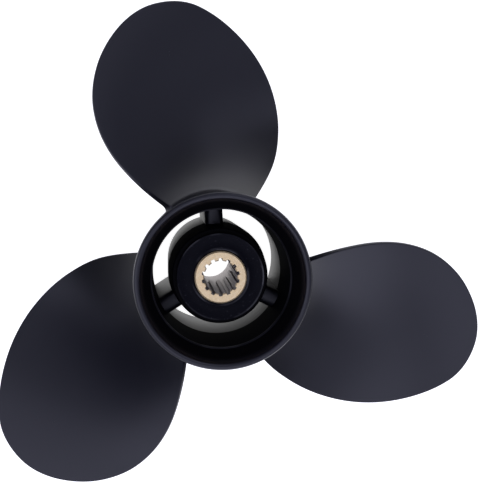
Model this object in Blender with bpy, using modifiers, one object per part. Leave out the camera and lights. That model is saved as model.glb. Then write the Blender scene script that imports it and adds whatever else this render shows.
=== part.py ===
# Three-blade outboard propeller with its exhaust through the hub.
# The shaft axis is Z. Aft, the side that the exhaust leaves, is +Z, and the front rims stand on Z = 0.
# Lengths are in metres and angles in degrees.

import math

import bmesh
import bpy
from mathutils import Vector

# Driving dimensions
TIP_RADIUS = 0.1175
PITCH = 0.214
PITCH_EASE = 0.085
PITCH_AT = 0.6
BLADE_COUNT = 3
HUB_LENGTH = 0.082
SEAM = 0.0003
TURNED_STEPS = 72
MERGE_DISTANCE = 0.00001
SHARP_ANGLE = 35

# Blade: reference plane, mean surface, thickness and root fillet
BLADE_PLANE = 0.0229
BLADE_PHASE = 79.13
RAKE_SLOPE = 0.344
RAKE_CURVE = -0.255
RAKE_START = 0.3
ROOT_THICKNESS = 0.0088
TIP_THICKNESS = 0.0025
THICKNESS_POWER = 1.2
ROOT_EDGE = 0.0026
TIP_EDGE = 0.0015
EDGE_POWER = 3
FILLET_RADIUS = 0.0036
FILLET_LIFTS = (0.0, 0.12, 0.35, 0.65)
PLACING_ROUNDS = 4
BLADE_SHARP_ANGLE = 50
CHORD_STEPS = 18
SPAN_STEPS = 14
CAP_STRIPS = 4
TIP_FRACTION = 0.9975

# Blade outline from the leading root round the tip to the trailing root:
# distance from the axis as a fraction of the tip radius, and angle round the axis
BLADE_OUTLINE = [
    (0.200, -23.8),
    (0.296, -23.8),
    (0.428, -21.2),
    (0.551, -15.4),
    (0.666, -8.6),
    (0.766, -1.9),
    (0.857, 5.0),
    (0.939, 12.0),
    (0.984, 17.2),
    (0.999, 22.8),
    (0.988, 28.2),
    (0.945, 34.2),
    (0.869, 40.9),
    (0.765, 47.0),
    (0.641, 51.2),
    (0.514, 52.7),
    (0.381, 51.2),
    (0.244, 45.7),
]
OUTLINE_SUBDIVISIONS = 24

# Exhaust barrel and diffuser ring: height and radius down each wall
BARREL_TOP = 0.0725
BARREL_OUTSIDE = [
    (0.0725, 0.03595),
    (0.066, 0.0349),
    (0.0355, 0.0327),
    (0.024, 0.0316),
    (0.001, 0.0292),
    (0.0, 0.0286),
]
BARREL_INSIDE = [(0.0725, 0.0295), (0.0721, 0.0291), (0.043, 0.0275), (0.0, 0.0279)]
RING_RADIUS = 0.03725
RING_MOUTH_RADIUS = 0.0343
RING_STEP = 0.0003
RING_FLARE_POWER = 1.2
RING_STEPS = 6
LIP_STEPS = 8

# Inner hub, rubber bushing and splined sleeve
HUB_TOP = 0.0630
HUB_OUTSIDE = [(0.0630, 0.0198), (0.0625, 0.0203), (0.046, 0.0212), (0.0003, 0.0192), (0.0, 0.0189)]
HUB_BORE = 0.01845
HUB_FRONT_BORE = 0.0165
RUBBER_RADIUS = 0.01815
RUBBER_FRONT_RADIUS = 0.01635
RUBBER_TOP = 0.0668
RUBBER_BOTTOM = 0.005
RUBBER_DISH = 0.0008
SLEEVE_RADIUS = 0.0110
SLEEVE_TOP = 0.0682
SLEEVE_CHAMFER = 0.0005
SPLINE_COUNT = 14
SPLINE_TIP_RADIUS = 0.0069
SPLINE_GROOVE_RADIUS = 0.0081
SPLINE_BOTTOM = 0.0274
GROOVE_SHARE = 0.52
GROOVE_TAPER = 0.8
GROOVE_REACH = 0.001
FRONT_BORE_RADIUS = 0.0083
FRONT_MOUTH_RADIUS = 0.0086

# Ribs between the inner hub and the barrel
RIB_ANGLE = 93.0
RIB_WIDTH = 0.006
RIB_TOP = 0.050
RIB_BOTTOM = 0.0015
RIB_EDGE_RADIUS = 0.0008


def clear_scene():
    for obj in list(bpy.data.objects):
        bpy.data.objects.remove(obj, do_unlink=True)


def make_collection(name, hidden=False):
    collection = bpy.data.collections.new(name)
    collection.hide_render = hidden
    bpy.context.scene.collection.children.link(collection)
    return collection


def make_material(name, color, roughness, metallic):
    material = bpy.data.materials.new(name)
    material.use_nodes = True
    shader = material.node_tree.nodes["Principled BSDF"]
    shader.inputs["Base Color"].default_value = (*color, 1.0)
    shader.inputs["Roughness"].default_value = roughness
    shader.inputs["Metallic"].default_value = metallic
    return material


def make_object(name, mesh, collection, material=None):
    obj = bpy.data.objects.new(name, mesh)
    collection.objects.link(obj)
    if material:
        mesh.materials.append(material)
    return obj


def apply_modifiers(obj):
    """Make the object's evaluated mesh its own, smooth on its round faces."""
    bpy.ops.object.select_all(action="DESELECT")
    obj.select_set(True)
    bpy.context.view_layer.objects.active = obj
    bpy.ops.object.convert(target="MESH")
    obj.data.shade_smooth()
    obj.data.set_sharp_from_angle(angle=math.radians(SHARP_ANGLE))


def interpolate(points, height):
    """Radius of a wall at a height, from its (height, radius) points."""
    rising = sorted(points)
    height = min(max(height, rising[0][0]), rising[-1][0])
    for (low, low_radius), (high, high_radius) in zip(rising, rising[1:]):
        if height <= high:
            share = (height - low) / (high - low)
            return low_radius + share * (high_radius - low_radius)
    return rising[-1][1]


def turned(name, profile, collection, material=None):
    """Turn a closed profile of (radius, height) points, down the outer side and up the inner one."""
    mesh = bpy.data.meshes.new(name)
    points = [(radius, 0.0, height) for radius, height in profile]
    edges = [(i, (i + 1) % len(points)) for i in range(len(points))]
    mesh.from_pydata(points, edges, [])
    obj = make_object(name, mesh, collection, material)
    screw = obj.modifiers.new("Turn", "SCREW")
    screw.axis = "Z"
    screw.steps = TURNED_STEPS
    screw.render_steps = TURNED_STEPS
    screw.use_merge_vertices = True
    screw.merge_threshold = MERGE_DISTANCE
    return obj


def down(points):
    return [(radius, height) for height, radius in sorted(points, reverse=True)]


def up(points):
    return [(radius, height) for height, radius in sorted(points)]


def arc(center_radius, center_height, size, start, end, steps):
    """Points on an arc in the profile plane, with 0 degrees outward and 90 degrees up."""
    points = []
    for i in range(steps + 1):
        angle = math.radians(start + (end - start) * i / steps)
        points.append((center_radius + size * math.cos(angle), center_height + size * math.sin(angle)))
    return points


def exhaust_barrel(collection, material):
    profile = down(BARREL_OUTSIDE) + up(BARREL_INSIDE)
    return turned("exhaust_barrel", profile, collection, material)


def diffuser_ring(collection, material):
    """Flared ring behind the barrel, with a round lip."""
    bottom = BARREL_TOP + SEAM
    lip = (RING_RADIUS - RING_MOUTH_RADIUS) / 2
    lip_height = HUB_LENGTH - lip
    outer_start = interpolate(BARREL_OUTSIDE, BARREL_TOP)
    inner_start = interpolate(BARREL_INSIDE, BARREL_TOP) + RING_STEP
    profile = arc(RING_RADIUS - lip, lip_height, lip, 180, 0, LIP_STEPS)
    profile.append((outer_start, bottom))
    for i in range(RING_STEPS):
        share = i / RING_STEPS
        radius = inner_start + (RING_MOUTH_RADIUS - inner_start) * share**RING_FLARE_POWER
        profile.append((radius, bottom + (lip_height - bottom) * share))
    return turned("diffuser_ring", profile, collection, material)


def inner_hub(collection, material):
    profile = down(HUB_OUTSIDE) + [(HUB_FRONT_BORE, 0.0), (HUB_BORE, HUB_TOP)]
    return turned("inner_hub", profile, collection, material)


def rubber_bushing(collection, material):
    """Rubber between the hub and the sleeve, with its end faces slightly dished."""
    inside = SLEEVE_RADIUS + SEAM
    middle = (inside + RUBBER_RADIUS) / 2
    profile = [
        (middle, RUBBER_TOP - RUBBER_DISH),
        (RUBBER_RADIUS, RUBBER_TOP),
        (RUBBER_RADIUS, HUB_TOP),
        (RUBBER_FRONT_RADIUS, RUBBER_BOTTOM),
        (middle, RUBBER_BOTTOM + RUBBER_DISH),
        (inside, RUBBER_BOTTOM),
        (inside, RUBBER_TOP),
    ]
    return turned("rubber_bushing", profile, collection, material)


def spline_cutter(collection):
    """Star outline of the grooves, drawn out along the splined stretch."""
    mesh = bpy.data.meshes.new("spline_grooves")
    build = bmesh.new()
    pitch = 360 / SPLINE_COUNT
    clear = SPLINE_TIP_RADIUS - GROOVE_REACH
    outline = []
    for i in range(SPLINE_COUNT):
        middle = 90 + i * pitch
        half = pitch * GROOVE_SHARE / 2
        floor = half * GROOVE_TAPER
        corners = [(clear, -half), (SPLINE_GROOVE_RADIUS, -floor)]
        corners += [(SPLINE_GROOVE_RADIUS, floor), (clear, half)]
        for radius, offset in corners:
            angle = math.radians(middle + offset)
            point = (radius * math.cos(angle), radius * math.sin(angle), SPLINE_BOTTOM)
            outline.append(build.verts.new(point))
    face = build.faces.new(outline)
    drawn = bmesh.ops.extrude_face_region(build, geom=[face])
    top = [item for item in drawn["geom"] if isinstance(item, bmesh.types.BMVert)]
    bmesh.ops.translate(build, verts=top, vec=(0, 0, HUB_LENGTH - SPLINE_BOTTOM))
    bmesh.ops.recalc_face_normals(build, faces=build.faces)
    build.to_mesh(mesh)
    build.free()
    cutter = make_object("spline_grooves", mesh, collection)
    cutter.hide_render = True
    cutter.display_type = "WIRE"
    return cutter


def splined_sleeve(collection, cutters, material):
    """Metal sleeve: internal splines behind, a plain bore in front."""
    profile = [
        (SLEEVE_RADIUS - SLEEVE_CHAMFER, SLEEVE_TOP),
        (SLEEVE_RADIUS, SLEEVE_TOP - SLEEVE_CHAMFER),
        (SLEEVE_RADIUS, SLEEVE_CHAMFER),
        (SLEEVE_RADIUS - SLEEVE_CHAMFER, 0.0),
        (FRONT_MOUTH_RADIUS, 0.0),
        (FRONT_BORE_RADIUS, SPLINE_BOTTOM),
        (SPLINE_TIP_RADIUS, SPLINE_BOTTOM),
        (SPLINE_TIP_RADIUS, SLEEVE_TOP - SLEEVE_CHAMFER),
        (SPLINE_TIP_RADIUS + SLEEVE_CHAMFER, SLEEVE_TOP),
    ]
    sleeve = turned("splined_sleeve", profile, collection, material)
    cut = sleeve.modifiers.new("Grooves", "BOOLEAN")
    cut.operation = "DIFFERENCE"
    cut.object = spline_cutter(cutters)
    return sleeve


def passage_guide(collection):
    """The ring of space between the hub and the barrel, a seam away from both."""
    outer = [(height, radius - SEAM) for height, radius in BARREL_INSIDE]
    inner = [(height, radius + SEAM) for height, radius in HUB_OUTSIDE]
    guide = turned("exhaust_passage", down(outer) + up(inner), collection)
    guide.hide_render = True
    guide.display_type = "WIRE"
    return guide


def rib(number, guide, collection, material):
    """Web that carries the barrel on the hub, cut to the curve of both."""
    mesh = bpy.data.meshes.new(f"rib_{number}")
    build = bmesh.new()
    bmesh.ops.create_cube(build, size=1.0)
    reach = BARREL_INSIDE[0][1] + RIB_WIDTH
    middle = Vector((reach / 2 + SLEEVE_RADIUS, 0, (RIB_TOP + RIB_BOTTOM) / 2))
    bmesh.ops.scale(build, verts=build.verts, vec=(reach, RIB_WIDTH, RIB_TOP - RIB_BOTTOM))
    bmesh.ops.translate(build, verts=build.verts, vec=middle)
    ends = [e for e in build.edges if abs(e.verts[0].co.x - e.verts[1].co.x) > reach / 2]
    bmesh.ops.bevel(build, geom=ends, offset=RIB_EDGE_RADIUS, segments=2, profile=0.5, affect="EDGES")
    build.to_mesh(mesh)
    build.free()
    obj = make_object(f"rib_{number}", mesh, collection, material)
    obj.rotation_euler.z = math.radians(RIB_ANGLE + (number - 1) * 360 / BLADE_COUNT)
    trim = obj.modifiers.new("Passage", "BOOLEAN")
    trim.operation = "INTERSECT"
    trim.object = guide
    return obj


def smooth_outline():
    """The blade's outline as a dense curve through its points, split at the tip: leading, trailing."""
    points = [Vector(point) for point in BLADE_OUTLINE]
    padded = [2 * points[0] - points[1]] + points + [2 * points[-1] - points[-2]]
    curve = []
    for a, b, c, d in zip(padded, padded[1:], padded[2:], padded[3:]):
        for i in range(OUTLINE_SUBDIVISIONS):
            t = i / OUTLINE_SUBDIVISIONS
            bend = (2 * a - 5 * b + 4 * c - d) * t**2
            twist = (3 * b - a - 3 * c + d) * t**3
            curve.append((2 * b + (c - a) * t + bend + twist) / 2)
    curve.append(points[-1])
    tip = max(range(len(curve)), key=lambda i: curve[i].x)
    return curve[: tip + 1], curve[tip:]


def edge_angle(edge, fraction):
    """Angle at which one edge of the outline crosses a distance from the axis."""
    for a, b in zip(edge, edge[1:]):
        if min(a.x, b.x) <= fraction <= max(a.x, b.x):
            share = (fraction - a.x) / (b.x - a.x) if b.x != a.x else 0
            return math.radians(a.y + share * (b.y - a.y))
    nearest = min(edge, key=lambda point: abs(point.x - fraction))
    return math.radians(nearest.y)


def pitch_at(radius):
    return PITCH - PITCH_EASE * (radius / TIP_RADIUS - PITCH_AT)


def mean_height(radius, angle):
    """Helicoid whose pitch eases outward, with the rake that the blade has."""
    fraction = radius / TIP_RADIUS - RAKE_START
    rake = TIP_RADIUS * (RAKE_SLOPE * fraction + RAKE_CURVE * fraction**2)
    return BLADE_PLANE + pitch_at(radius) * angle / (2 * math.pi) + rake


def radius_at(level, height):
    """Distance from the axis at a level: 0 on the barrel, 1 at the end of the fillet, 2 at the tip."""
    wall = interpolate(BARREL_OUTSIDE, height) + SEAM
    if level <= 1:
        return wall + level * FILLET_RADIUS
    start = wall + FILLET_RADIUS
    return start + (TIP_FRACTION * TIP_RADIUS - start) * math.sin(math.pi / 2 * (level - 1))


def edge_at(edge, level):
    """Angle of one edge of the outline at a level, which follows the barrel's cone."""
    radius = radius_at(level, BLADE_PLANE)
    for _ in range(PLACING_ROUNDS):
        angle = edge_angle(edge, radius / TIP_RADIUS)
        radius = radius_at(level, mean_height(radius, angle))
    return angle


def surface_point(level, angle, offset):
    """Point at a level and an angle, at a distance off the mean surface along its normal."""
    radius = radius_at(level, BLADE_PLANE)
    for _ in range(PLACING_ROUNDS):
        radius = radius_at(level, mean_height(radius, angle))
    slope = math.atan2(pitch_at(radius), 2 * math.pi * radius)
    height = mean_height(radius, angle) + offset * math.cos(slope)
    turn = angle - offset * math.sin(slope) / radius + math.radians(BLADE_PHASE)
    radius = radius_at(level, height)
    return Vector((radius * math.cos(turn), radius * math.sin(turn), height))


def blade_section(level, leading, trailing):
    """Section at one level: chord lines from its aft to its front face, and its noses.

    Near the barrel the fillet widens the section all round.
    """
    radius = radius_at(level, BLADE_PLANE)
    root = interpolate(BARREL_OUTSIDE, BLADE_PLANE)
    span = (radius - root) / (TIP_RADIUS - root)
    nose = (TIP_EDGE + (ROOT_EDGE - TIP_EDGE) * (1 - span) ** EDGE_POWER) / 2
    most = TIP_THICKNESS + (ROOT_THICKNESS - TIP_THICKNESS) * (1 - span) ** THICKNESS_POWER
    rise = min(level, 1)
    fillet = FILLET_RADIUS * (1 - math.sqrt(1 - (1 - rise) ** 2))
    slope = math.atan2(pitch_at(radius), 2 * math.pi * radius)
    inset = nose / radius
    spread = fillet * math.cos(slope) / radius
    first = edge_at(leading, level) + inset - spread
    last = edge_at(trailing, level) - inset + spread
    lines = [[] for _ in range(CAP_STRIPS + 1)]
    for i in range(CHORD_STEPS + 1):
        share = (1 - math.cos(math.pi * i / CHORD_STEPS)) / 2
        angle = first + (last - first) * share
        bulge = 1 - (2 * share - 1) ** 2
        upper = nose + fillet * math.sqrt(bulge)
        lower = -nose - (most - 2 * nose) * bulge - fillet * math.sqrt(bulge)
        for strip, line in enumerate(lines):
            offset = upper + (lower - upper) * strip / CAP_STRIPS
            line.append(surface_point(level, angle, offset))
    noses = [surface_point(level, first - inset, 0), surface_point(level, last + inset, 0)]
    return lines, noses


def add_section(build, lines, noses):
    """Vertices of a section, one row for each chord line. The inner rows end at the noses."""
    leading_nose, trailing_nose = [build.verts.new(point) for point in noses]
    rows = []
    for line in lines:
        if line is lines[0] or line is lines[-1]:
            rows.append([build.verts.new(point) for point in line])
        else:
            middle = [build.verts.new(point) for point in line[1:-1]]
            rows.append([leading_nose] + middle + [trailing_nose])
    return rows


def around(rows):
    """The closed loop of a section's own points: aft face, trailing nose, front face, leading nose."""
    return rows[0] + [rows[1][-1]] + rows[-1][::-1] + [rows[1][0]]


def close_end(build, rows):
    """Cap a section by strips between its chord lines, so that the cap can be round."""
    for upper, lower in zip(rows, rows[1:]):
        for i in range(CHORD_STEPS):
            corners = dict.fromkeys((upper[i], upper[i + 1], lower[i + 1], lower[i]))
            build.faces.new(list(corners))


def blade_mesh():
    leading, trailing = smooth_outline()
    build = bmesh.new()
    levels = list(FILLET_LIFTS) + [1 + i / SPAN_STEPS for i in range(SPAN_STEPS + 1)]
    sections = [add_section(build, *blade_section(level, leading, trailing)) for level in levels]
    rings = [around(rows) for rows in sections]
    for inner, outer in zip(rings, rings[1:]):
        count = len(inner)
        for i in range(count):
            after = (i + 1) % count
            build.faces.new((inner[i], inner[after], outer[after], outer[i]))
    close_end(build, sections[0])
    close_end(build, sections[-1])
    unused = [vert for vert in build.verts if not vert.link_faces]
    bmesh.ops.delete(build, geom=unused, context="VERTS")
    bmesh.ops.recalc_face_normals(build, faces=build.faces)
    mesh = bpy.data.meshes.new("blade")
    build.to_mesh(mesh)
    build.free()
    return mesh


def blades(collection, material):
    mesh = blade_mesh()
    mesh.materials.append(material)
    mesh.shade_smooth()
    mesh.set_sharp_from_angle(angle=math.radians(BLADE_SHARP_ANGLE))
    for number in range(1, BLADE_COUNT + 1):
        blade = make_object(f"blade_{number}", mesh, collection)
        blade.rotation_euler.z = math.radians((number - 1) * 360 / BLADE_COUNT)


def main():
    clear_scene()
    parts = make_collection("outboard_propeller")
    cutters = make_collection("cutters", hidden=True)
    paint = make_material("black_paint", (0.018, 0.019, 0.028), 0.42, 0.0)
    rubber = make_material("rubber", (0.008, 0.008, 0.012), 0.6, 0.0)
    bronze = make_material("sintered_bronze", (0.52, 0.42, 0.29), 0.45, 1.0)
    guide = passage_guide(cutters)
    turned_parts = [
        exhaust_barrel(parts, paint),
        diffuser_ring(parts, paint),
        inner_hub(parts, paint),
        rubber_bushing(parts, rubber),
        splined_sleeve(parts, cutters, bronze),
    ]
    ribs = [rib(number, guide, parts, paint) for number in range(1, BLADE_COUNT + 1)]
    blades(parts, paint)
    for obj in turned_parts + ribs:
        apply_modifiers(obj)


main()
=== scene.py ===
import math

import bmesh
import bpy
from mathutils import Matrix, Vector


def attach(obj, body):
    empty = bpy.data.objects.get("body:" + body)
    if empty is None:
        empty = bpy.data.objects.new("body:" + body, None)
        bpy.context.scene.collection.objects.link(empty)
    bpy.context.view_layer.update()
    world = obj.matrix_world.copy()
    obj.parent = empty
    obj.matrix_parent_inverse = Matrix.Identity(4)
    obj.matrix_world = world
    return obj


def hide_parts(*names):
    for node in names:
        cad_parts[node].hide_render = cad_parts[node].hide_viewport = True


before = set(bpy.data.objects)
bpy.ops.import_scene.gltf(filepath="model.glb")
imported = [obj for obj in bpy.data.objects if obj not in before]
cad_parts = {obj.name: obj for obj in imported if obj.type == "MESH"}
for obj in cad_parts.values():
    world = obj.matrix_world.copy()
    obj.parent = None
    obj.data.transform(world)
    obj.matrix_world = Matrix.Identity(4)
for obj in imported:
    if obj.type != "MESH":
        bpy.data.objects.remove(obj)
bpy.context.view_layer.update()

# Sizes that several pieces share, in metres and degrees, the same as the solids have
propeller = dict(
    tipRadius=0.1175,
    bladeCount=3,
    bladePlane=0.0229,  # height of the blade's reference line
    bladePhase=79.13,  # from +X to the first blade's reference line
    outside=[(0.001, 0.0292), (0.024, 0.0316), (0.0355, 0.0327), (0.066, 0.0349), (0.0805, 0.03725)],
    inside=[(0.0, 0.0279), (0.043, 0.0275), (0.0721, 0.0291)],
    hubOutside=[(0.0003, 0.0192), (0.046, 0.0212), (0.0625, 0.0203)],
    merge=0.000001,
    cornerReach=0.00001,  # how near to its place a corner's edge is looked for
)


# Modelling tools

def mix(a, b, share):
    return a + (b - a) * share


def straightWall(points, height):
    height = min(max(height, points[0][0]), points[-1][0])
    for (low, lowRadius), (high, highRadius) in zip(points, points[1:]):
        if height <= high:
            return mix(lowRadius, highRadius, (height - low) / (high - low))


def smoothWall(points, height):  # radius at a height, on a smooth curve through (height, radius) points
    height = min(max(height, points[0][0]), points[-1][0])
    slopes = [(b[1] - a[1]) / (b[0] - a[0]) for a, b in zip(points, points[1:])]
    tangents = [slopes[0]] + [(a + b) / 2 for a, b in zip(slopes, slopes[1:])] + [slopes[-1]]
    for i, ((low, lowRadius), (high, highRadius)) in enumerate(zip(points, points[1:])):
        if height <= high:
            run = high - low
            t = (height - low) / run
            bend = (2 * t**3 - 3 * t**2 + 1) * lowRadius + (3 * t**2 - 2 * t**3) * highRadius
            lean = (t**3 - 2 * t**2 + t) * tangents[i] + (t**3 - t**2) * tangents[i + 1]
            return bend + lean * run


def arcPoints(centre, size, start, end, steps):  # (radius, height) points, 0 degrees outward and 90 up
    turns = [math.radians(mix(start, end, i / steps)) for i in range(steps + 1)]
    return [(centre[0] + size * math.cos(a), centre[1] + size * math.sin(a)) for a in turns]


def startRing(name, count, radius, height):
    bpy.ops.object.select_all(action="DESELECT")
    bpy.ops.mesh.primitive_circle_add(vertices=count, radius=radius, location=(0, 0, height))
    piece = bpy.context.object
    piece.name = piece.data.name = name
    bpy.ops.object.transform_apply(location=True, rotation=True, scale=True)
    bpy.ops.object.mode_set(mode="EDIT")
    return piece


def finishPiece(piece, angle=40):
    bpy.ops.mesh.select_all(action="SELECT")
    bpy.ops.mesh.remove_doubles(threshold=propeller["merge"])
    bpy.ops.mesh.normals_make_consistent(inside=False)
    bpy.ops.object.mode_set(mode="OBJECT")
    bpy.ops.object.shade_smooth_by_angle(angle=math.radians(angle))
    return piece


def bridgeEnds():
    bpy.ops.mesh.select_all(action="DESELECT")
    bpy.ops.mesh.select_mode(type="EDGE")
    bpy.ops.mesh.select_non_manifold()
    bpy.ops.mesh.bridge_edge_loops()
    bpy.ops.mesh.select_mode(type="VERT")


def roundCorner(piece, radius, height, size, segments=4):  # bevels the round edge at this place
    bpy.ops.mesh.select_all(action="DESELECT")
    mesh = bmesh.from_edit_mesh(piece.data)
    for edge in mesh.edges:
        misses = [abs(v.co.xy.length - radius) + abs(v.co.z - height) for v in edge.verts]
        edge.select = max(misses) < propeller["cornerReach"]
    mesh.select_flush_mode()
    bmesh.update_edit_mesh(piece.data)
    bpy.ops.mesh.bevel(offset=size, segments=segments, affect="EDGES")


def turnedPiece(name, profile, corners, steps):
    radius, height = profile[0]
    piece = startRing(name, steps, radius, height)
    for nextRadius, nextHeight in profile[1:]:
        grow = nextRadius / radius
        bpy.ops.mesh.extrude_edges_move(TRANSFORM_OT_translate={"value": (0, 0, nextHeight - height)})
        bpy.ops.transform.resize(value=(grow, grow, 1), center_override=(0, 0, nextHeight))
        radius, height = nextRadius, nextHeight
    bridgeEnds()
    for corner in corners:
        roundCorner(piece, *corner)
    return finishPiece(piece)


def layRing(piece, points):  # puts the selected ring's vertices on these points
    mesh = bmesh.from_edit_mesh(piece.data)
    place = mesh.verts.layers.int["place"]
    for vert in mesh.verts:
        if vert.select:
            vert.co = points[vert[place]]
    bmesh.update_edit_mesh(piece.data)


def loftedPiece(name, rings, closed, angle=40):  # extrudes a ring from station to station
    piece = startRing(name, len(rings[0]), propeller["tipRadius"], 0)
    mesh = bmesh.from_edit_mesh(piece.data)
    place = mesh.verts.layers.int.new("place")
    for i, vert in enumerate(mesh.verts):
        vert[place] = i
    bmesh.update_edit_mesh(piece.data)
    layRing(piece, rings[0])
    for points in rings[1:]:
        bpy.ops.mesh.extrude_edges_move()
        layRing(piece, points)
    if closed:
        bridgeEnds()
    else:
        bpy.ops.mesh.select_all(action="SELECT")
        bpy.ops.mesh.remove_doubles(threshold=propeller["merge"])
        bpy.ops.mesh.select_all(action="DESELECT")
        bpy.ops.mesh.select_non_manifold()
        bpy.ops.mesh.fill()
    return finishPiece(piece, angle)


def turnedCopy(piece, name, degrees):  # a copy with its own mesh, turned round the shaft
    copy = piece.copy()
    copy.data = piece.data.copy()
    copy.name = copy.data.name = name
    bpy.context.scene.collection.objects.link(copy)
    copy.data.transform(Matrix.Rotation(math.radians(degrees), 4, "Z"))
    return copy


def dress(piece, material, slot, *nodes):
    piece.data.materials.clear()
    piece.data.materials.append(material)
    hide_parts(*nodes)
    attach(piece, "root")


# Shader tools

class Wire:  # a shader socket that takes part in Python sums
    def __init__(self, finish, socket):
        self.finish = finish
        self.socket = socket

    def sum(self, operation, a, b):
        return self.finish.node("Math", {"operation": operation}, {0: a, 1: b})

    def __add__(self, other):
        return self.sum("ADD", self, other)

    def __radd__(self, other):
        return self.sum("ADD", other, self)

    def __sub__(self, other):
        return self.sum("SUBTRACT", self, other)

    def __rsub__(self, other):
        return self.sum("SUBTRACT", other, self)

    def __mul__(self, other):
        return self.sum("MULTIPLY", self, other)

    def __rmul__(self, other):
        return self.sum("MULTIPLY", other, self)

    def __pow__(self, other):
        return self.sum("POWER", self, other)


class Finish:  # one material and the nodes that feed its shader
    def __init__(self, name, **values):
        self.material = bpy.data.materials.new(name)
        self.material.use_nodes = True
        self.tree = self.material.node_tree
        self.shader = self.tree.nodes["Principled BSDF"]
        self.place = self.node("TexCoord", output="Object")
        for name, value in values.items():
            self.set(name, value)

    def plug(self, socket, value):
        if isinstance(value, Wire):
            self.tree.links.new(value.socket, socket)
        else:
            socket.default_value = value

    def node(self, kind, settings={}, inputs={}, output=0):
        made = self.tree.nodes.new("ShaderNode" + kind)
        for name, value in settings.items():
            setattr(made, name, value)
        for name, value in inputs.items():
            self.plug(made.inputs[name], value)
        return Wire(self, made.outputs[output])

    def set(self, name, value):
        self.plug(self.shader.inputs[name], value)

    def noise(self, size, detail=2, rough=0.5):  # size is one patch, in metres
        inputs = {"Vector": self.place, "Scale": 1 / size, "Detail": detail, "Roughness": rough}
        return self.node("TexNoise", inputs=inputs)

    def between(self, share, low, high):  # 0 below low, 1 above high
        inputs = {"Value": share, "From Min": low, "From Max": high}
        return self.node("MapRange", {"interpolation_type": "SMOOTHSTEP"}, inputs)

    def colours(self, share, a, b):
        ends = [c if isinstance(c, Wire) else (*c, 1) for c in (a, b)]
        return self.node("Mix", {"data_type": "RGBA"}, {0: share, 6: ends[0], 7: ends[1]}, 2)

    def axis(self, name):
        return self.node("SeparateXYZ", inputs={0: self.place}, output=name)

    def radius(self):  # distance from the shaft's axis
        x, y = self.axis("X"), self.axis("Y")
        return (x * x + y * y) ** 0.5

    def cover(self, share, colour):  # a matt layer over the shader
        matt = self.node("BsdfDiffuse", inputs={"Color": (*colour, 1), "Roughness": 1.0})
        shine = Wire(self, self.shader.outputs[0])
        both = self.node("MixShader", inputs={0: share, 1: shine, 2: matt})
        self.tree.links.new(both.socket, self.tree.nodes["Material Output"].inputs["Surface"])

    def bump(self, height, depth):  # depth in metres
        inputs = {"Height": height, "Distance": depth, "Strength": 1}
        self.set("Normal", self.node("Bump", inputs=inputs))


# Finishes

paintLook = dict(
    dark=(0.0030, 0.0031, 0.0062),
    light=(0.0045, 0.0046, 0.0085),
    ior=1.5,
    patches=0.03,  # size of the patches in its colour
    roughness=0.30,
    roughnessInside=0.42,
    roughnessPatches=0.06,
    roughnessSize=0.004,
    hubRadius=(0.0300, 0.0340),  # the paint is rougher inside the first radius
    peel=0.0011,  # size of the orange peel
    peelDepth=0.000004,
    waves=0.02,  # soft waves of the casting under the paint
    waveDepth=0.00002,
)

# Painted shade: a matt near-black layer laid over the paint inside the barrel, ring flare and hub aft
# of the crest, standing in for the shade and missing reflections there
paintedShadeLook = dict(
    colour=(0.0016, 0.0016, 0.0020),
    share=0.93,
    start=(0.0430, 0.0442),  # painted shade: from here up a matt near-black layer darkens the passage behind the crest, where the walls catch little light
    lip=(0.0325, 0.0350),  # the painted shade stops short of the lip
    edge=(0.0714, 0.0725),  # and of most of the round edge of the step, which keeps its real gloss
    edgeRadius=(0.0284, 0.0288),
    edgeFade=0.0003,
    # noisy patches of the step's edge that the painted shade leaves uncovered
    edgeClearingSize=0.02,
    edgeClearing=(0.42, 0.62),
    edgeClearingLeast=0.3,
    edgeClearingMore=0.4,
)


def makePaint(name, withPaintedShade):
    look = paintLook
    finish = Finish(name, **{"IOR": look["ior"]})
    patches = finish.noise(look["patches"], 3)
    finish.set("Base Color", finish.colours(patches, look["dark"], look["light"]))
    outside = finish.between(finish.radius(), *look["hubRadius"])
    rough = look["roughnessInside"] + (look["roughness"] - look["roughnessInside"]) * outside
    grit = finish.noise(look["roughnessSize"], 4, 0.6)
    finish.set("Roughness", rough + look["roughnessPatches"] * grit)
    peel = finish.noise(look["peel"], 2)
    waves = finish.noise(look["waves"], 2)
    finish.bump(peel * (look["peelDepth"] / look["waveDepth"]) + waves, look["waveDepth"])
    if withPaintedShade:
        addPaintedShade(finish)
    return finish.material


# lays the painted shade over the paint behind the crest
def addPaintedShade(finish):
    look = paintedShadeLook
    height = finish.axis("Z")
    low, high = look["edge"]
    below = finish.between(height, low - look["edgeFade"], low)
    above = finish.between(height, high, high + look["edgeFade"])
    edgeClearing = finish.between(finish.noise(look["edgeClearingSize"], 2), *look["edgeClearing"])
    atEdge = (below - above) * finish.between(finish.radius(), *look["edgeRadius"])
    uncovered = atEdge * (look["edgeClearingLeast"] + look["edgeClearingMore"] * edgeClearing)
    inside = 1 - finish.between(finish.radius(), *look["lip"])
    share = finish.between(height, *look["start"]) * inside * (1 - uncovered) * look["share"]
    finish.cover(share, look["colour"])


rubberLook = dict(
    dark=(0.0015, 0.0016, 0.0035),
    light=(0.0030, 0.0031, 0.0060),
    ior=1.45,
    patches=0.004,
    dust=(0.03, 0.03, 0.035),
    dustSize=0.0008,
    dustSpecks=(0.74, 0.8),
    dustShare=0.5,
    shine=0.08,
    roughness=0.42,
    roughnessPatches=0.15,
    roughnessSize=0.002,
    grain=0.0004,
    grainDepth=0.00001,
    rim=(0.0177, 0.0180),  # the moulded rims at both edges are glossy in places
    bead=(0.0121, 0.0125),
    rimGloss=0.6,
    glossSize=0.012,
    glossPatches=(0.48, 0.62),
)


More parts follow.
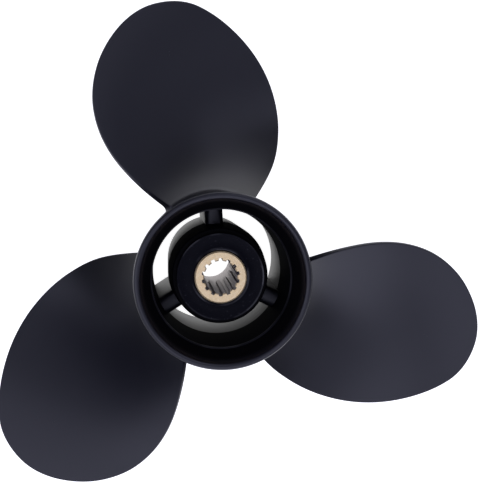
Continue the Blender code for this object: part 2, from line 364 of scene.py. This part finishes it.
def makeRubber():
    look = rubberLook
    finish = Finish("moulded_rubber", **{"IOR": look["ior"], "Specular IOR Level": look["shine"]})
    base = finish.colours(finish.noise(look["patches"], 4), look["dark"], look["light"])
    specks = finish.between(finish.noise(look["dustSize"], 0), *look["dustSpecks"])
    finish.set("Base Color", finish.colours(specks * look["dustShare"], base, look["dust"]))
    grit = finish.noise(look["roughnessSize"], 3)
    finish.set("Roughness", look["roughness"] + look["roughnessPatches"] * grit)
    rim = finish.between(finish.radius(), *look["rim"])
    bead = 1 - finish.between(finish.radius(), *look["bead"])
    glossy = finish.between(finish.noise(look["glossSize"], 1), *look["glossPatches"])
    finish.set("Coat Weight", (rim + bead) * glossy * look["rimGloss"])
    finish.bump(finish.noise(look["grain"], 3), look["grainDepth"])
    return finish.material


bronzeLook = dict(
    metallic=0.85,
    face=(0.86, 0.66, 0.34),
    facePale=(0.95, 0.79, 0.49),
    facePatches=(0.35, 0.7),
    pore=(0.12, 0.09, 0.06),
    poreSize=0.0002,
    porePatches=(0.66, 0.78),
    poreShare=0.5,
    bore=(0.50, 0.48, 0.49),
    boreDark=(0.30, 0.26, 0.25),
    boreRadius=(0.0088, 0.0092),  # inside these radii the metal is greyer
    boreTop=(0.0674, 0.0680),
    streaks=0.0006,
    roughness=0.42,
    roughnessGrain=0.2,
    grain=0.00045,
    grainDepth=0.00003,
)


def makeBronze():
    look = bronzeLook
    finish = Finish("sintered_bronze", **{"Metallic": look["metallic"]})
    grain = finish.noise(look["grain"], 3, 0.6)
    pale = finish.between(grain, *look["facePatches"])
    face = finish.colours(pale, look["face"], look["facePale"])
    pores = finish.between(finish.noise(look["poreSize"], 1), *look["porePatches"])
    face = finish.colours(pores * look["poreShare"], face, look["pore"])
    inBore = 1 - finish.between(finish.radius(), *look["boreRadius"])
    below = 1 - finish.between(finish.axis("Z"), *look["boreTop"])
    bore = finish.colours(finish.noise(look["streaks"], 3), look["bore"], look["boreDark"])
    finish.set("Base Color", finish.colours(inBore * below, face, bore))
    finish.set("Roughness", look["roughness"] + look["roughnessGrain"] * grain)
    finish.bump(grain, look["grainDepth"])
    return finish.material


print("finishes")
paint = makePaint("satin_black_paint", withPaintedShade=False)
# barrel and hub paint, with the painted shade inside the passage
hubPaint = makePaint("black_paint_with_painted_shade", withPaintedShade=True)
rubber = makeRubber()
bronze = makeBronze()


# Barrel with its flared ring, turned in one

barrel = dict(
    steps=180,
    frontInside=0.0279,
    frontOutside=0.0286,
    wallSteps=30,
    ringRadius=0.03725,
    mouthRadius=0.0343,
    top=0.082,
    flareStart=(0.0299, 0.0729),
    flarePower=1.2,
    flareSteps=12,
    lipSteps=16,
    step=[(0.0296, 0.0725), (0.0291, 0.0721)],
    corners=[
        (0.0291, 0.0721, 0.0004), (0.0279, 0.0, 0.0003), (0.0286, 0.0, 0.0003),
        (0.0299, 0.0729, 0.0002), (0.0275, 0.043, 0.0005),
    ],
)


def makeBarrel():
    b = barrel
    lip = (b["ringRadius"] - b["mouthRadius"]) / 2
    low, high = propeller["outside"][0][0], b["top"] - lip
    profile = [(b["frontInside"], 0), (b["frontOutside"], 0)]
    for i in range(b["wallSteps"]):
        height = mix(low, high, i / b["wallSteps"])
        profile.append((smoothWall(propeller["outside"], height), height))
    profile += arcPoints((b["ringRadius"] - lip, high), lip, 0, 180, b["lipSteps"])
    radius, height = b["flareStart"]
    for i in range(b["flareSteps"] - 1, -1, -1):
        share = i / b["flareSteps"]
        flare = mix(radius, b["mouthRadius"], share ** b["flarePower"])
        profile.append((flare, mix(height, high, share)))
    profile += b["step"] + [(r, z) for z, r in reversed(propeller["inside"][1:-1])]
    return turnedPiece("barrel_and_ring", profile, b["corners"], b["steps"])


print("barrel and ring")
dress(makeBarrel(), hubPaint, "paint", "exhaust_barrel", "diffuser_ring")


# Inner hub tube

hub = dict(
    steps=144,
    top=0.0630,
    topRadius=0.0198,
    frontRadius=0.0189,
    bore=0.01845,
    frontBore=0.0165,
    corners=[
        (0.0203, 0.0625, 0.0003), (0.01845, 0.0630, 0.0003), (0.0165, 0.0, 0.0004),
        (0.0192, 0.0003, 0.0002), (0.0212, 0.046, 0.0005),
    ],
)


def makeHub():
    profile = [(hub["bore"], hub["top"]), (hub["frontBore"], 0), (hub["frontRadius"], 0)]
    profile += [(radius, height) for height, radius in propeller["hubOutside"]]
    profile.append((hub["topRadius"], hub["top"]))
    return turnedPiece("hub_tube", profile, hub["corners"], hub["steps"])


print("hub tube")
dress(makeHub(), hubPaint, "paint", "inner_hub")


# Ribs between the hub and the barrel

rib = dict(
    turns=(93.8, 212.4, 333.4),  # the core sat a little off, so they aren't quite evenly spaced
    halfWidth=0.0027,
    draft=0.012,  # narrows both ways from the crest
    crest=0.043,
    top=0.050,
    bottom=0.0015,
    topRound=0.0021,
    bottomRound=0.0008,
    lowest=0.0003,
    fillet=0.0011,
    filletSteps=6,
    foot=1.15,  # width of the foot inside the walls, in fillets
    sink=0.0006,
    cornerSteps=6,
    sideSteps=10,
)


def ribHalfWidth(height):
    return rib["halfWidth"] - rib["draft"] * abs(height - rib["crest"])


def ribOutline():  # side, height and the way out of each point round the rib, seen along its length
    points = []
    top, bottom = rib["top"] - rib["topRound"], rib["bottom"] + rib["bottomRound"]
    for i in range(rib["sideSteps"]):
        height = mix(bottom, top, i / rib["sideSteps"])
        points.append((ribHalfWidth(height), height, 1, 0))
    for centre, size, start in ((top, rib["topRound"], 0), (bottom, rib["bottomRound"], -90)):
        middle = ribHalfWidth(centre) - size
        arc = []
        for i in range(rib["cornerSteps"] + 1):
            turn = math.radians(start + 90 * i / rib["cornerSteps"])
            outSide, up = math.cos(turn), math.sin(turn)
            arc.append((middle + size * outSide, centre + size * up, outSide, up))
        points = points + arc if start == 0 else arc[:-1] + points
    otherSide = [(-side, height, -outSide, up) for side, height, outSide, up in reversed(points)]
    return points + otherSide


def ribRing(outline, flare, wallAt):
    points = []
    for side, height, outSide, up in outline:
        side, height = side + flare * outSide, max(height + flare * up, rib["lowest"])
        radius = wallAt(height)
        points.append(Vector((math.sqrt(radius**2 - side**2), side, height)))
    return points


def makeRib():
    outline = ribOutline()
    hubWall, barrelWall, fillet = propeller["hubOutside"], propeller["inside"], rib["fillet"]
    turns = [math.radians(90 * i / rib["filletSteps"]) for i in range(rib["filletSteps"] + 1)]
    fillets = [(fillet * (1 - math.cos(t)), fillet * (1 - math.sin(t))) for t in turns]
    stations = [(fillet * rib["foot"], -rib["sink"])] + fillets[::-1]
    rings = []
    for flare, lift in stations:
        rings.append(ribRing(outline, flare, lambda z: straightWall(hubWall, z) + lift))
    for flare, lift in stations[::-1]:
        rings.append(ribRing(outline, flare, lambda z: straightWall(barrelWall, z) - lift))
    return loftedPiece("rib_cast_1", rings, closed=False)


print("ribs")
firstRib = makeRib()
for i in range(1, propeller["bladeCount"]):
    turned = turnedCopy(firstRib, f"rib_cast_{i + 1}", rib["turns"][i])
    dress(turned, paint, "paint", f"rib_{i + 1}")
firstRib.data.transform(Matrix.Rotation(math.radians(rib["turns"][0]), 4, "Z"))
dress(firstRib, paint, "paint", "rib_1")


# Blades

blade = dict(
    pitch=0.214,
    pitchEase=0.085,
    pitchAt=0.6,
    rakeSlope=0.344,
    rakeCurve=-0.255,
    rakeStart=0.3,
    rootThickness=0.0088,
    tipThickness=0.0025,
    thicknessPower=1.2,
    rootEdge=0.0026,
    tipEdge=0.0015,
    edgePower=3,
    arris=0.00045,  # radius of the arrises of the edge
    arrisSteps=5,
    fillet=0.0036,
    filletSteps=9,
    sink=0.00003,
    skirt=0.0008,
    chordSteps=26,
    chordPower=1.4,  # sets the steps closer at the edges
    spanSteps=72,
    tipEnd=0.9988,  # where the two edges of the outline meet
    spineEnd=0.80,  # where the middle line stops short of the tip
    noseFillet=0.6,  # share of the fillet that goes round the two noses
    outlineSteps=24,
    rounds=5,
    # distance from the axis in tip radii, and angle, from the leading root to the trailing one
    outline=[
        (0.200, -23.8), (0.296, -23.8), (0.428, -21.2), (0.551, -15.4), (0.666, -8.6), (0.766, -1.9),
        (0.857, 5.0), (0.939, 12.0), (0.984, 17.2), (0.999, 22.8), (0.988, 28.2), (0.945, 34.2),
        (0.869, 40.9), (0.765, 47.0), (0.641, 51.2), (0.514, 52.7), (0.381, 51.2), (0.244, 45.7),
    ],
)


def smoothOutline():
    points = [Vector(p) for p in blade["outline"]]
    padded = [2 * points[0] - points[1]] + points + [2 * points[-1] - points[-2]]
    curve = []
    for a, b, c, d in zip(padded, padded[1:], padded[2:], padded[3:]):
        for i in range(blade["outlineSteps"]):
            t = i / blade["outlineSteps"]
            bend = (2 * a - 5 * b + 4 * c - d) * t**2 + (3 * b - a - 3 * c + d) * t**3
            curve.append((2 * b + (c - a) * t + bend) / 2)
    curve.append(points[-1])
    tip = max(range(len(curve)), key=lambda i: curve[i].x)
    return curve[: tip + 1], curve[tip:]


def edgeAngle(edge, fraction):
    fraction *= max(p.x for p in edge) / blade["tipEnd"]
    for a, b in zip(edge, edge[1:]):
        if min(a.x, b.x) <= fraction <= max(a.x, b.x):
            return math.radians(mix(a.y, b.y, (fraction - a.x) / (b.x - a.x)))
    return math.radians(max(edge, key=lambda p: p.x).y)


def pitchAt(radius):
    return blade["pitch"] - blade["pitchEase"] * (radius / propeller["tipRadius"] - blade["pitchAt"])


def meanHeight(radius, angle):
    share = radius / propeller["tipRadius"] - blade["rakeStart"]
    rake = propeller["tipRadius"] * (blade["rakeSlope"] * share + blade["rakeCurve"] * share**2)
    return propeller["bladePlane"] + pitchAt(radius) * angle / (2 * math.pi) + rake


def radiusAt(level, height, inward=0):  # 0 on the barrel, 1 where the fillet ends, 2 at the tip
    wall = smoothWall(propeller["outside"], height)
    if level <= 1:
        return wall + level * blade["fillet"] - (blade["sink"] if level <= 0 else 0)
    start = wall + blade["fillet"]
    end = propeller["tipRadius"] * mix(blade["tipEnd"], blade["spineEnd"], inward)
    return mix(start, end, math.sin(math.pi / 2 * (level - 1)))


def edgeAt(edge, level):
    radius = radiusAt(level, propeller["bladePlane"])
    for _ in range(blade["rounds"]):
        angle = edgeAngle(edge, radius / propeller["tipRadius"])
        radius = radiusAt(level, meanHeight(radius, angle))
    return angle


def onBlade(level, angle, offset, inward):
    radius = radiusAt(level, propeller["bladePlane"], inward)
    for _ in range(blade["rounds"]):
        radius = radiusAt(level, meanHeight(radius, angle), inward)
    slope = math.atan2(pitchAt(radius), 2 * math.pi * radius)
    height = meanHeight(radius, angle) + offset * math.cos(slope)
    turn = angle - offset * math.sin(slope) / radius + math.radians(propeller["bladePhase"])
    radius = radiusAt(level, height, inward)
    return Vector((radius * math.cos(turn), radius * math.sin(turn), height))


def rowAcross(level, edge, spine, fillet):  # from the middle line round one edge to the front side
    edgeRadius = radiusAt(level, propeller["bladePlane"])
    spineRadius = radiusAt(level, propeller["bladePlane"], 1)
    root = smoothWall(propeller["outside"], propeller["bladePlane"])
    slope = math.atan2(pitchAt(edgeRadius), 2 * math.pi * edgeRadius)
    across = (edgeRadius + spineRadius) / 2 * (spine - edge) / math.cos(slope)
    width = math.hypot(across, edgeRadius - spineRadius)
    edgeSpan = min(max((edgeRadius - root) / (propeller["tipRadius"] - root), 0), 1)
    nose = mix(blade["tipEdge"], blade["rootEdge"], (1 - edgeSpan) ** blade["edgePower"]) / 2
    arris = blade["arris"]
    section = []  # (way in from the outline, offset, outward share of each)
    for i in range(blade["chordSteps"]):
        share = 1 - (i / blade["chordSteps"])
        inward = mix(arris, width, share ** blade["chordPower"])
        section.append((inward, nose, 0, 1))
    for i in range(blade["arrisSteps"] + 1):
        turn = math.radians(90 * i / blade["arrisSteps"])
        outward, up = math.sin(turn), math.cos(turn)
        section.append((arris * (1 - outward), nose - arris * (1 - up), outward, up))
    section += [(inward, -offset, outward, -up) for inward, offset, outward, up in reversed(section)]
    points = []
    for inward, offset, outward, up in section:
        share = inward / width
        radius = mix(edgeRadius, spineRadius, share)
        span = min(max((radius - root) / (propeller["tipRadius"] - root), 0), 1)
        thinning = (1 - span) ** blade["thicknessPower"]
        thickness = mix(blade["tipThickness"], blade["rootThickness"], thinning)
        if offset < 0:
            offset -= (thickness - 2 * nose) * (1 - (1 - share) ** 2)
        share -= fillet * outward * blade["noseFillet"] / width
        points.append(onBlade(level, mix(edge, spine, share), offset + fillet * up, max(share, 0)))
    return points


def bladeRing(level, fillet, leading, trailing):
    first, last = edgeAt(leading, max(level, 0)), edgeAt(trailing, max(level, 0))
    spine = (first + last) / 2
    trailingRow = rowAcross(level, last, spine, fillet)
    leadingRow = rowAcross(level, first, spine, fillet)
    return trailingRow + leadingRow[-2:0:-1]


def makeBlade():
    leading, trailing = smoothOutline()
    stations = [(0, blade["fillet"] + blade["skirt"])]
    for i in range(blade["filletSteps"]):
        turn = math.radians(90 * (1 - i / blade["filletSteps"]))
        stations.append((1 - math.sin(turn), blade["fillet"] * (1 - math.cos(turn))))
    stations += [(1 + i / blade["spanSteps"], 0) for i in range(blade["spanSteps"] + 1)]
    rings = [bladeRing(level, fillet, leading, trailing) for level, fillet in stations]
    return loftedPiece("blade_cast_1", rings, closed=False)


print("blades")
firstBlade = makeBlade()
for i in range(1, propeller["bladeCount"]):
    turned = turnedCopy(firstBlade, f"blade_cast_{i + 1}", i * 360 / propeller["bladeCount"])
    dress(turned, paint, "paint", f"blade_{i + 1}")
dress(firstBlade, paint, "paint", "blade_1")


# Rubber bushing

bushing = dict(
    steps=144,
    outside=0.0184,
    frontOutside=0.0166,
    inside=0.0109,
    top=0.0668,
    mouth=0.0630,  # where the hub's bore ends
    bottom=0.005,
    dish=0.0008,
    rimWidth=0.0012,
    rimDip=0.3,  # share of the dish that is reached at the rim's foot
    bead=0.0122,
    beadInside=0.0115,
    beadFoot=0.0006,
    beadDip=0.5,
    beadDrop=0.0001,
    insideDrop=0.0004,
    corners=[
        (0.0184, 0.0668, 0.0005), (0.0166, 0.005, 0.0005),
        (0.0122, 0.0667, 0.0002), (0.0115, 0.0667, 0.0002),
    ],
)


def makeBushing():
    b = bushing
    middle = (b["outside"] + b["bead"]) / 2
    top, bottom, dish = b["top"], b["bottom"], b["dish"]
    profile = [
        (b["frontOutside"], bottom), (b["outside"], b["mouth"]), (b["outside"], top),
        (b["outside"] - b["rimWidth"], top - dish * b["rimDip"]), (middle, top - dish),
        (b["bead"] + b["beadFoot"], top - dish * b["beadDip"]), (b["bead"], top - b["beadDrop"]),
        (b["beadInside"], top - b["beadDrop"]), (b["inside"], top - b["insideDrop"]),
        (b["inside"], bottom), (middle, bottom + dish),
    ]
    return turnedPiece("bushing_rubber", profile, b["corners"], b["steps"])


print("rubber bushing")
dress(makeBushing(), rubber, "rubber", "rubber_bushing")


# Splined sleeve

sleeve = dict(
    splines=14,
    outside=0.0110,
    top=0.0682,
    chamfer=0.0005,
    toothRadius=0.0069,
    grooveRadius=0.0081,
    mouthRadius=0.0074,
    splineBottom=0.0274,
    boreRadius=0.0083,
    boreMouth=0.0086,
    # share of a spline's pitch from the groove's middle, and share of its depth
    groove=[
        (0.0, 1.0), (0.10, 1.0), (0.185, 0.99), (0.21, 0.93),
        (0.235, 0.5), (0.262, 0.06), (0.29, 0.0), (0.4, 0.0),
    ],
)


def splineRing(radiusOf, height):
    points = []
    pitch = 2 * math.pi / sleeve["splines"]
    leftHalf = [(-share, depth) for share, depth in sleeve["groove"][:0:-1]]
    for i in range(sleeve["splines"]):
        for share, depth in [(-0.5, 0.0)] + leftHalf + sleeve["groove"]:
            turn = math.pi / 2 + (i + share) * pitch
            radius = radiusOf(mix(sleeve["toothRadius"], sleeve["grooveRadius"], depth))
            points.append(Vector((radius * math.cos(turn), radius * math.sin(turn), height)))
    return points


def makeSleeve():
    s = sleeve
    rings = [
        splineRing(lambda r: s["outside"], s["chamfer"]),
        splineRing(lambda r: s["outside"], s["top"] - s["chamfer"]),
        splineRing(lambda r: s["outside"] - s["chamfer"], s["top"]),
        splineRing(lambda r: max(r, s["mouthRadius"]), s["top"]),
        splineRing(lambda r: r, s["top"] - s["chamfer"]),
        splineRing(lambda r: r, s["splineBottom"]),
        splineRing(lambda r: s["boreRadius"], s["splineBottom"]),
        splineRing(lambda r: s["boreMouth"], 0),
        splineRing(lambda r: s["outside"] - s["chamfer"], 0),
    ]
    return loftedPiece("sleeve_bronze", rings, closed=True, angle=30)


print("splined sleeve")
dress(makeSleeve(), bronze, "bronze", "splined_sleeve")


# Floor, lights and camera

stageLook = dict(
    floorSize=6.0,
    floorColour=(0.8, 0.8, 0.8),
    floorRoughness=0.9,
    floorGlow=1.0,
    world=0.075,
    worldColour=(0.5, 0.52, 1.0),
)


def makeFloor():
    bpy.ops.object.select_all(action="DESELECT")
    bpy.ops.mesh.primitive_plane_add(size=stageLook["floorSize"], location=(0, 0, 0))
    floor = bpy.context.object
    floor.name = "floor"
    finish = Finish("pale_floor", **{"Roughness": stageLook["floorRoughness"]})
    finish.set("Base Color", (*stageLook["floorColour"], 1))
    finish.set("Emission Color", (1, 1, 1, 1))
    finish.set("Emission Strength", stageLook["floorGlow"])
    floor.data.materials.append(finish.material)


lights = dict(
    distance=1.2,
    colour=(0.76, 0.77, 1.0),
    width=0.8,
    boxes=[  # turn from +X, angle off the shaft, power
        (0, 25, 0.4), (60, 25, 0.6), (120, 25, 0.7), (180, 25, 1.3), (240, 25, 2.1), (300, 25, 1.3),
        (0, 50, 0.6), (60, 50, 1.7), (180, 50, 2.0), (240, 50, 0.9), (300, 50, 1.4),
        (30, 70, 0.35), (90, 70, 0.65), (210, 70, 0.65), (270, 70, 2.5), (330, 70, 1.0),
    ],
)


def makeLights():
    for turn, lean, power in lights["boxes"]:
        name = f"softbox_{turn}_{lean}"
        lamp = bpy.data.lights.new(name, "AREA")
        lamp.color = lights["colour"]
        lamp.shape = "DISK"
        lamp.size = lights["width"]
        lamp.energy = power
        box = bpy.data.objects.new(name, lamp)
        bpy.context.scene.collection.objects.link(box)
        turn, lean = math.radians(turn), math.radians(lean)
        way = Vector((math.sin(lean) * math.cos(turn), math.sin(lean) * math.sin(turn), math.cos(lean)))
        box.location = way * lights["distance"]
        box.rotation_euler = way.to_track_quat("Z", "Y").to_euler()
    world = bpy.data.worlds.new("studio")
    world.use_nodes = True
    background = world.node_tree.nodes["Background"]
    background.inputs["Color"].default_value = (*stageLook["worldColour"], 1)
    background.inputs["Strength"].default_value = stageLook["world"]
    bpy.context.scene.world = world


view = dict(
    leanX=6.523,
    leanY=4.702,
    shiftX=-0.0985,  # this and the next two in tip radii
    shiftY=-0.0863,
    distance=7.245,
    pixelsPerRadius=265.18,
    imageHeight=482,
    sensor=36,
    nearest=0.01,
)


def makeCamera():
    camera = bpy.data.objects.new("camera", bpy.data.cameras.new("camera"))
    bpy.context.scene.collection.objects.link(camera)
    leanX, leanY = math.radians(view["leanX"]), math.radians(view["leanY"])
    turn = (Matrix.Rotation(leanX, 3, "X") @ Matrix.Rotation(leanY, 3, "Y")).transposed()
    place = turn @ Vector((-view["shiftX"], -view["shiftY"], view["distance"])) * propeller["tipRadius"]
    place += Vector((0, 0, propeller["bladePlane"]))
    camera.matrix_world = Matrix.Translation(place) @ turn.to_4x4()
    camera.data.sensor_width = view["sensor"]
    focalPixels = view["pixelsPerRadius"] * view["distance"]
    camera.data.lens = focalPixels * view["sensor"] / view["imageHeight"]
    camera.data.clip_start = view["nearest"]
    bpy.context.scene.camera = camera
    bpy.context.scene.view_settings.view_transform = "Standard"


print("stage")
makeFloor()
makeLights()
makeCamera()
